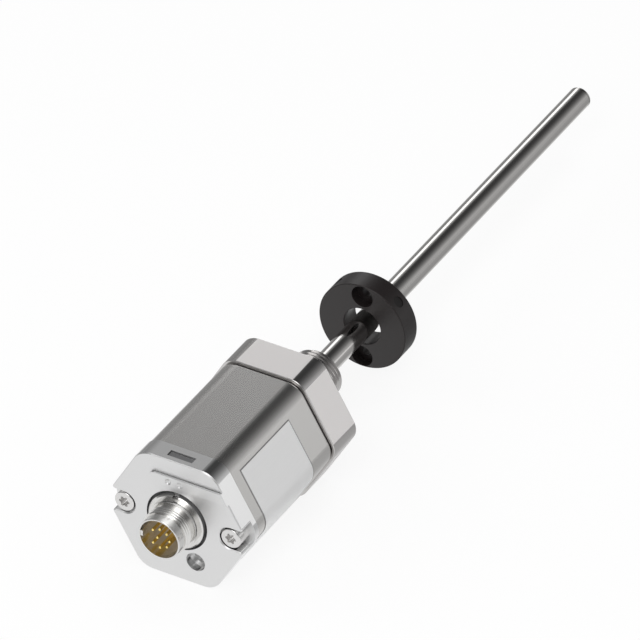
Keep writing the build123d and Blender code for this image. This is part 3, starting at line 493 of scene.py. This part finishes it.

# %% [markdown]
# ### Plated and yellow metals
# The connector shell is brass with bright nickel, which is a little warmer than steel. A plated
# skin has no grain that shows, so its noise is broad, faint and flat. The wall of its collar faces
# the gap in the cover, and gets the same painted shade. Its contacts are gilt. Copper and brass sit inside.

# %% Plated finishes
nickel = make_finish("nickel", ("#dddcda", "#e6e5e3"), 1.0, (0.15, 0.17), 2.0, bump=0)
# Painted shade on the collar's wall, as dark and dull as the gap it faces.
collar_wall_shade = ring_zone(nickel, pad_front + 0.5, pad_front + 3.45, 9.8, 10.0)
paint_shade(nickel, (collar_wall_shade,), GAP_SHADE)
make_finish("gold_contact", ("#fcd878", "#ffeb98"), 1.0, (0.14, 0.20), 0.2, bump=0.001)
make_finish("copper", ("#b5623a", "#cf7c50"), 1.0, (0.22, 0.32), 0.2, stretch=(1, 0.3, 1), bump=0.004)
make_finish("crimp_brass", ("#b99a52", "#cfb069"), 1.0, (0.20, 0.30), 0.3, bump=0.004)
print("Metals in all:", len(finishes))

# %% [markdown]
# ### Plastics, rubber and resin
# The ring magnet is hard ferrite powder bound in a black plastic, moulded with a smooth skin, so its
# colour is nearly black and what the eye sees is mostly the soft shine on it. The resin that closes
# its cells is the same black. The other plastics are moulded too. Rubber is dull.

# %% Plastic finishes
make_finish("magnet_plastic", ("#1b1717", "#221d1d"), 0.0, (0.34, 0.42), 0.3, bump=0.004, ior=1.50)
make_finish("magnet_cell", ("#3a3a3c", "#4a4a4c"), 0.0, (0.40, 0.55), 0.15, bump=0.01, ior=1.6)
make_finish("potting_resin", ("#100e0e", "#161313"), 0.0, (0.40, 0.48), 0.8, bump=0.004, ior=1.45)
make_finish("insert_plastic", ("#dccbb0", "#e6d6bd"), 0.0, (0.38, 0.50), 0.3, bump=0.006, ior=1.57)
make_finish("window_plastic", ("#5b5b5c", "#676768"), 0.0, (0.20, 0.26), 0.3, bump=0.002, ior=1.58)
make_finish("carrier_plastic", ("#2b2622", "#38312c"), 0.0, (0.42, 0.55), 0.3, bump=0.01, ior=1.6)
make_finish("bobbin_plastic", ("#d9d2c0", "#e4decd"), 0.0, (0.38, 0.48), 0.3, bump=0.006, ior=1.53)
make_finish("sleeve_plastic", ("#e6e5e1", "#f0efec"), 0.0, (0.35, 0.45), 0.4, bump=0.004, ior=1.35)
make_finish("chip_plastic", ("#1f1f21", "#2a2a2c"), 0.0, (0.45, 0.58), 0.12, bump=0.006, ior=1.55)
make_finish("diode_plastic", ("#d8dcd9", "#e6e9e7"), 0.0, (0.10, 0.18), 0.4, bump=0.002, ior=1.53)
make_finish("board_laminate", ("#1f5b3c", "#2a6c48"), 0.0, (0.28, 0.40), 0.6, bump=0.006, ior=1.55)
make_finish("seal_rubber", ("#1b1a1a", "#262424"), 0.0, (0.60, 0.75), 0.2, bump=0.01, ior=1.52)
make_finish("damper_rubber", ("#5b5653", "#6a6562"), 0.0, (0.60, 0.72), 0.25, bump=0.01, ior=1.42)
print("Finishes in all:", len(finishes))

# %% [markdown]
# ## Dressing the solids
# Every CAD solid keeps its mesh and its place. Only the material in its slot changes, and the
# record says which finish each solid has, so the slot's own name finds it.

# %% Assign the finishes
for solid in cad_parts.values():
    for slot in solid.material_slots:
        slot.material = finishes[slot.material.name.split(".")[0]]
print("Solids dressed:", len(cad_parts))

# %% [markdown]
# ## Threads
# The stub carries a fine metric thread, 18 mm wide with a pitch of 1.5 mm, and the connector shell
# one of 16 mm with a pitch of 1 mm. Both are cut as a die cuts a real bar: a nut-shaped cutter is
# taken away from a merged copy of the solid. Shaping in edit mode needs some helpers first, since
# each operator acts on all that is selected.

# %% Select and apply


def open_mesh(piece):
    """Makes a piece the only one selected and opens it for editing, with nothing selected in it."""
    if bpy.context.mode != "OBJECT":
        bpy.ops.object.mode_set(mode="OBJECT")
    bpy.ops.object.select_all(action="DESELECT")
    piece.select_set(True)
    bpy.context.view_layer.objects.active = piece
    bpy.ops.object.mode_set(mode="EDIT")
    bpy.ops.mesh.select_mode(type="VERT")
    bpy.ops.mesh.select_all(action="DESELECT")


def select_points(piece, test):
    """Selects the points of an open piece whose place passes the test, and counts them."""
    bpy.ops.object.mode_set(mode="OBJECT")
    chosen = 0
    for point in piece.data.vertices:
        point.select = bool(test(point.co))
        chosen += point.select
    bpy.ops.object.mode_set(mode="EDIT")
    return chosen


def apply_all(piece):
    """Applies a piece's modifiers in their order."""
    if bpy.context.mode != "OBJECT":
        bpy.ops.object.mode_set(mode="OBJECT")
    bpy.context.view_layer.objects.active = piece
    for modifier in list(piece.modifiers):
        bpy.ops.object.modifier_apply(modifier=modifier.name)


# %% [markdown]
# A thread is a zigzag carried round an axis while it climbs, so one profile is extruded from a
# single point, the last corner of a small plane, and swept by the Screw modifier for three turns
# more than are needed. The swept skin is trimmed square at both ends, the ends are drawn outwards,
# and their rims are joined. Trimming needs a threshold far below Blender's usual one, which is wide
# enough here to leave the skin open, and an open cutter cuts nothing.

# %% The thread cutter


def thread_cutter(name, crest, root, pitch, start, end, steps=96):
    """A ring with an inner thread, in metres along Y, that leaves an outer thread on a bar."""
    crest_flat, root_flat = pitch / 8, pitch / 6
    flank = (pitch - crest_flat - root_flat) / 2
    turns = math.ceil((end - start) / pitch) + 3
    widening = 1.4
    corner = 0.0005
    bpy.ops.object.select_all(action="DESELECT")
    bpy.ops.mesh.primitive_plane_add(size=2 * corner, location=(0, 0, 0))
    cutter = bpy.context.object
    cutter.name = name
    open_mesh(cutter)
    select_points(cutter, lambda co: co.x > 0 or co.y > 0)
    bpy.ops.mesh.delete(type="VERT")
    bpy.ops.mesh.select_all(action="SELECT")
    bpy.ops.transform.translate(value=(root + corner, start - 2 * pitch + corner, 0))
    for out, on in ((0, root_flat), (crest - root, flank), (0, crest_flat), (root - crest, flank)):
        bpy.ops.mesh.extrude_region_move(TRANSFORM_OT_translate={"value": (out, on, 0)})
    bpy.ops.object.mode_set(mode="OBJECT")
    sweep = cutter.modifiers.new("sweep", "SCREW")
    sweep.axis = "Y"
    sweep.screw_offset = pitch
    sweep.iterations = turns
    sweep.steps = sweep.render_steps = steps
    apply_all(cutter)
    open_mesh(cutter)
    bpy.ops.mesh.select_all(action="SELECT")
    bpy.ops.mesh.remove_doubles(threshold=1e-6)
    for level, keep_above in ((start, True), (end, False)):
        bpy.ops.mesh.select_all(action="SELECT")
        bpy.ops.mesh.bisect(plane_co=(0, level, 0), plane_no=(0, 1, 0), threshold=1e-7,
                            clear_inner=keep_above, clear_outer=not keep_above)
        bpy.ops.mesh.select_all(action="DESELECT")
        select_points(cutter, lambda co: abs(co.y - level) < 3e-7)
        bpy.ops.mesh.select_mode(type="EDGE")
        bpy.ops.mesh.extrude_region_move()
        bpy.ops.transform.resize(value=(widening, 1, widening), center_override=(0, level, 0))
        bpy.ops.mesh.select_mode(type="VERT")
    past_the_thread = 1.116 * crest
    select_points(cutter, lambda co: math.hypot(co.x, co.z) > past_the_thread)
    bpy.ops.mesh.select_mode(type="EDGE")
    bpy.ops.mesh.bridge_edge_loops()
    bpy.ops.mesh.select_all(action="SELECT")
    bpy.ops.mesh.normals_make_consistent(inside=False)
    bpy.ops.object.mode_set(mode="OBJECT")
    return cutter


print("Turns that the stub's thread needs:", math.ceil((0.0215 - 0.0026) / 0.0015))

# %% [markdown]
# The cut leaves long thin faces that would shine unevenly, so each turned face gets the slope of
# the round surface that it stands for. A face that leans hardly at all along Y is part of a
# cylinder, one that leans almost wholly is a flat end, and the rest are flanks and chamfers. A face
# that is skewed sideways, such as a wall of a slot, keeps its own slope.

# %% The shine of turned faces


def turned_shine(piece, smooth_from, skew=0.45):
    """Gives every face that was turned round the Y axis the slope of its true round surface."""
    hardly, wholly = 0.06, 0.985
    mesh = piece.data
    slopes = [Vector(corner.vector) for corner in mesh.corner_normals]
    turned = 0
    along_axis = Vector((0, 1, 0))
    for face in mesh.polygons:
        out = Vector((face.center.x, 0, face.center.z))
        if out.length < 1e-5 or face.center.y < smooth_from:
            continue
        out.normalize()
        outward = face.normal.dot(out)
        lean = face.normal.y
        if (face.normal - outward * out - lean * along_axis).length > skew:
            continue
        if abs(lean) < hardly:
            lean = 0
        elif abs(lean) > wholly:
            lean = math.copysign(1, lean)
        outward = math.copysign(math.sqrt(1 - lean * lean), outward)
        turned += 1
        for corner in face.loop_indices:
            ray = mesh.vertices[mesh.loops[corner].vertex_index].co.copy()
            ray.y = 0
            slopes[corner] = ray.normalized() * outward + lean * along_axis
    mesh.normals_split_custom_set(slopes)
    return turned


print("Lean of a 60 degree thread's flank:", round(math.cos(math.radians(30)), 3))

# %% [markdown]
# The last helper copies a solid, merges its loose triangles, takes the cutter away and lets the
# copy stand for the solid that it came from. The CAD solid itself stays as it is.

# %% The cut


def threaded_copy(node_name, piece_name, cutter, sharp_angle, smooth_from):
    """A copy of a CAD solid with the cutter taken away, standing for that solid."""
    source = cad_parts[node_name]
    piece = bpy.data.objects.new(piece_name, source.data.copy())
    bpy.context.collection.objects.link(piece)
    open_mesh(piece)
    bpy.ops.mesh.select_all(action="SELECT")
    bpy.ops.mesh.remove_doubles(threshold=1e-6)
    bpy.ops.object.mode_set(mode="OBJECT")
    cut = piece.modifiers.new("thread", "BOOLEAN")
    cut.operation = "DIFFERENCE"
    cut.solver = "EXACT"
    cut.object = cutter
    apply_all(piece)
    bpy.data.objects.remove(cutter, do_unlink=True)
    bpy.ops.object.select_all(action="DESELECT")
    piece.select_set(True)
    bpy.context.view_layer.objects.active = piece
    bpy.ops.object.shade_smooth_by_angle(angle=math.radians(sharp_angle))
    even = piece.modifiers.new("even_slopes", "WEIGHTED_NORMAL")
    even.keep_sharp = True
    apply_all(piece)
    print(piece_name, "turned faces:", turned_shine(piece, smooth_from), "of", len(piece.data.polygons))
    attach(piece, "sensor")
    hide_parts(node_name)
    return piece


print("Solids that get a thread: flange and connector_shell")

# %% [markdown]
# The stub's thread starts at the groove of the port seal and runs out over the chamfer at its end.
# Its crest stays 0.06 mm inside the plain cylinder, so that nothing of that cylinder is left over.

# %% The stub's thread
stub_cutter = thread_cutter("stub_cutter", crest=0.00894, root=0.00808, pitch=0.0015,
                            start=0.0026, end=0.0215)
print("Stub cutter faces:", len(stub_cutter.data.polygons))
threaded_flange = threaded_copy("flange", "threaded_flange", stub_cutter, 30, smooth_from=0.0)
threaded_flange.data.materials.clear()
threaded_flange.data.materials.append(finishes["flange_steel"])
print("Threaded flange faces:", len(threaded_flange.data.polygons))

# %% [markdown]
# The connector's thread is short, three turns between the sleeve and a neck.

# %% The connector's thread
shell_cutter = thread_cutter("shell_cutter", crest=0.00794, root=0.00742, pitch=0.001,
                             start=-0.07585, end=-0.07255)
print("Shell cutter faces:", len(shell_cutter.data.polygons))
threaded_shell = threaded_copy("connector_shell", "threaded_shell", shell_cutter, 30, smooth_from=-1.0)
threaded_shell.data.materials.clear()
threaded_shell.data.materials.append(finishes["nickel"])
print("Threaded shell faces:", len(threaded_shell.data.polygons))

# %% [markdown]
# ## The end
# Colours show as they are written when the view transform is Standard. The box of the finished
# object is printed, as the CAD box was.

# %% Finish
bpy.context.scene.view_settings.view_transform = "Standard"
low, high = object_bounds()
print("Finished box, mm:", [round(1000 * (b - a), 2) for a, b in zip(low, high)])
